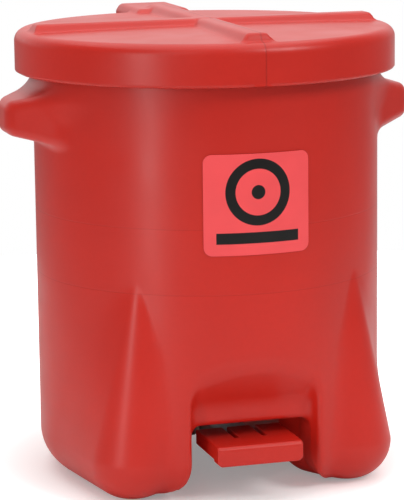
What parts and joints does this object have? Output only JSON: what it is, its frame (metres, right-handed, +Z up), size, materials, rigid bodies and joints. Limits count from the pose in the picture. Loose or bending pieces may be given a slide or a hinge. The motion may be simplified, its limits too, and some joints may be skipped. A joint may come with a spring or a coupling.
{
  "type": "foot-operated waste can",
  "caption": "Round moulded waste can on splayed feet, with a hinged ribbed lid that a foot pedal lifts through a lever under the floor and a rod at the back.",
  "frame": {"origin": "centre of the box's bottom, on the floor under the can", "axes": "+Z up, -Y towards the pedal, +X to the right of someone who faces the pedal from the front"},
  "size_m": [0.363, 0.3722, 0.3953],
  "materials": {
    "red_polyethylene": "moulded, satin",
    "label_vinyl": "printed vinyl",
    "zinc_steel": "zinc plated",
    "spring_steel": "dark spring steel",
    "rivet_aluminium": "bright",
    "nylon": "natural nylon"
  },
  "bodies": {
    "can": {"can_body": "red_polyethylene", "label": "label_vinyl", "hinge_bracket": "zinc_steel", "hinge_bracket_rivet_1": "rivet_aluminium", "hinge_bracket_rivet_2": "rivet_aluminium", "hinge_bracket_rivet_3": "rivet_aluminium", "hinge_bracket_rivet_4": "rivet_aluminium", "rod_guide": "zinc_steel", "rod_guide_rivet_1": "rivet_aluminium", "rod_guide_rivet_2": "rivet_aluminium", "pedal_bracket": "zinc_steel", "pedal_bracket_screw_1": "zinc_steel", "pedal_bracket_screw_2": "zinc_steel", "pedal_bracket_screw_3": "zinc_steel", "pedal_bracket_screw_4": "zinc_steel", "pedal_axle": "zinc_steel", "pedal_axle_nut_left": "spring_steel", "pedal_axle_nut_right": "spring_steel"},
    "lid": {"lid_shell": "red_polyethylene", "lift_bracket": "zinc_steel", "lift_bracket_rivet_1": "rivet_aluminium", "lift_bracket_rivet_2": "rivet_aluminium", "hinge_pin": "zinc_steel", "hinge_pin_nut_left": "spring_steel", "hinge_pin_nut_right": "spring_steel"},
    "pedal": {"foot_pedal": "red_polyethylene", "lever_arm": "zinc_steel", "lever_screw_1": "zinc_steel", "lever_screw_2": "zinc_steel", "pivot_bush_left": "nylon", "pivot_bush_right": "nylon"},
    "lift_rod": {"lift_rod": "zinc_steel", "lift_rod_nut_lower": "spring_steel", "lift_rod_nut_upper": "spring_steel"}
  },
  "joints": [
    {"name": "lid_hinge", "type": "hinge", "parent": "can", "child": "lid", "pos_m": [0, 0.1709, 0.365], "axis": [-1, 0, 0], "range_deg": [0, 60]},
    {"name": "pedal_pivot", "type": "hinge", "parent": "can", "child": "pedal", "pos_m": [0, -0.0351, 0.036], "axis": [1, 0, 0], "range_deg": [0, 11]},
    {"name": "lift_rod_swivel", "type": "hinge", "parent": "pedal", "child": "lift_rod", "pos_m": [0, 0.14145, 0.019], "axis": [1, 0, 0], "range_deg": [-11, 0]}
  ],
  "couplings": [
    {"joint": "pedal_pivot", "follows": "lid_hinge", "ratio": 0.18333},
    {"joint": "lift_rod_swivel", "follows": "lid_hinge", "ratio": -0.18333}
  ]
}
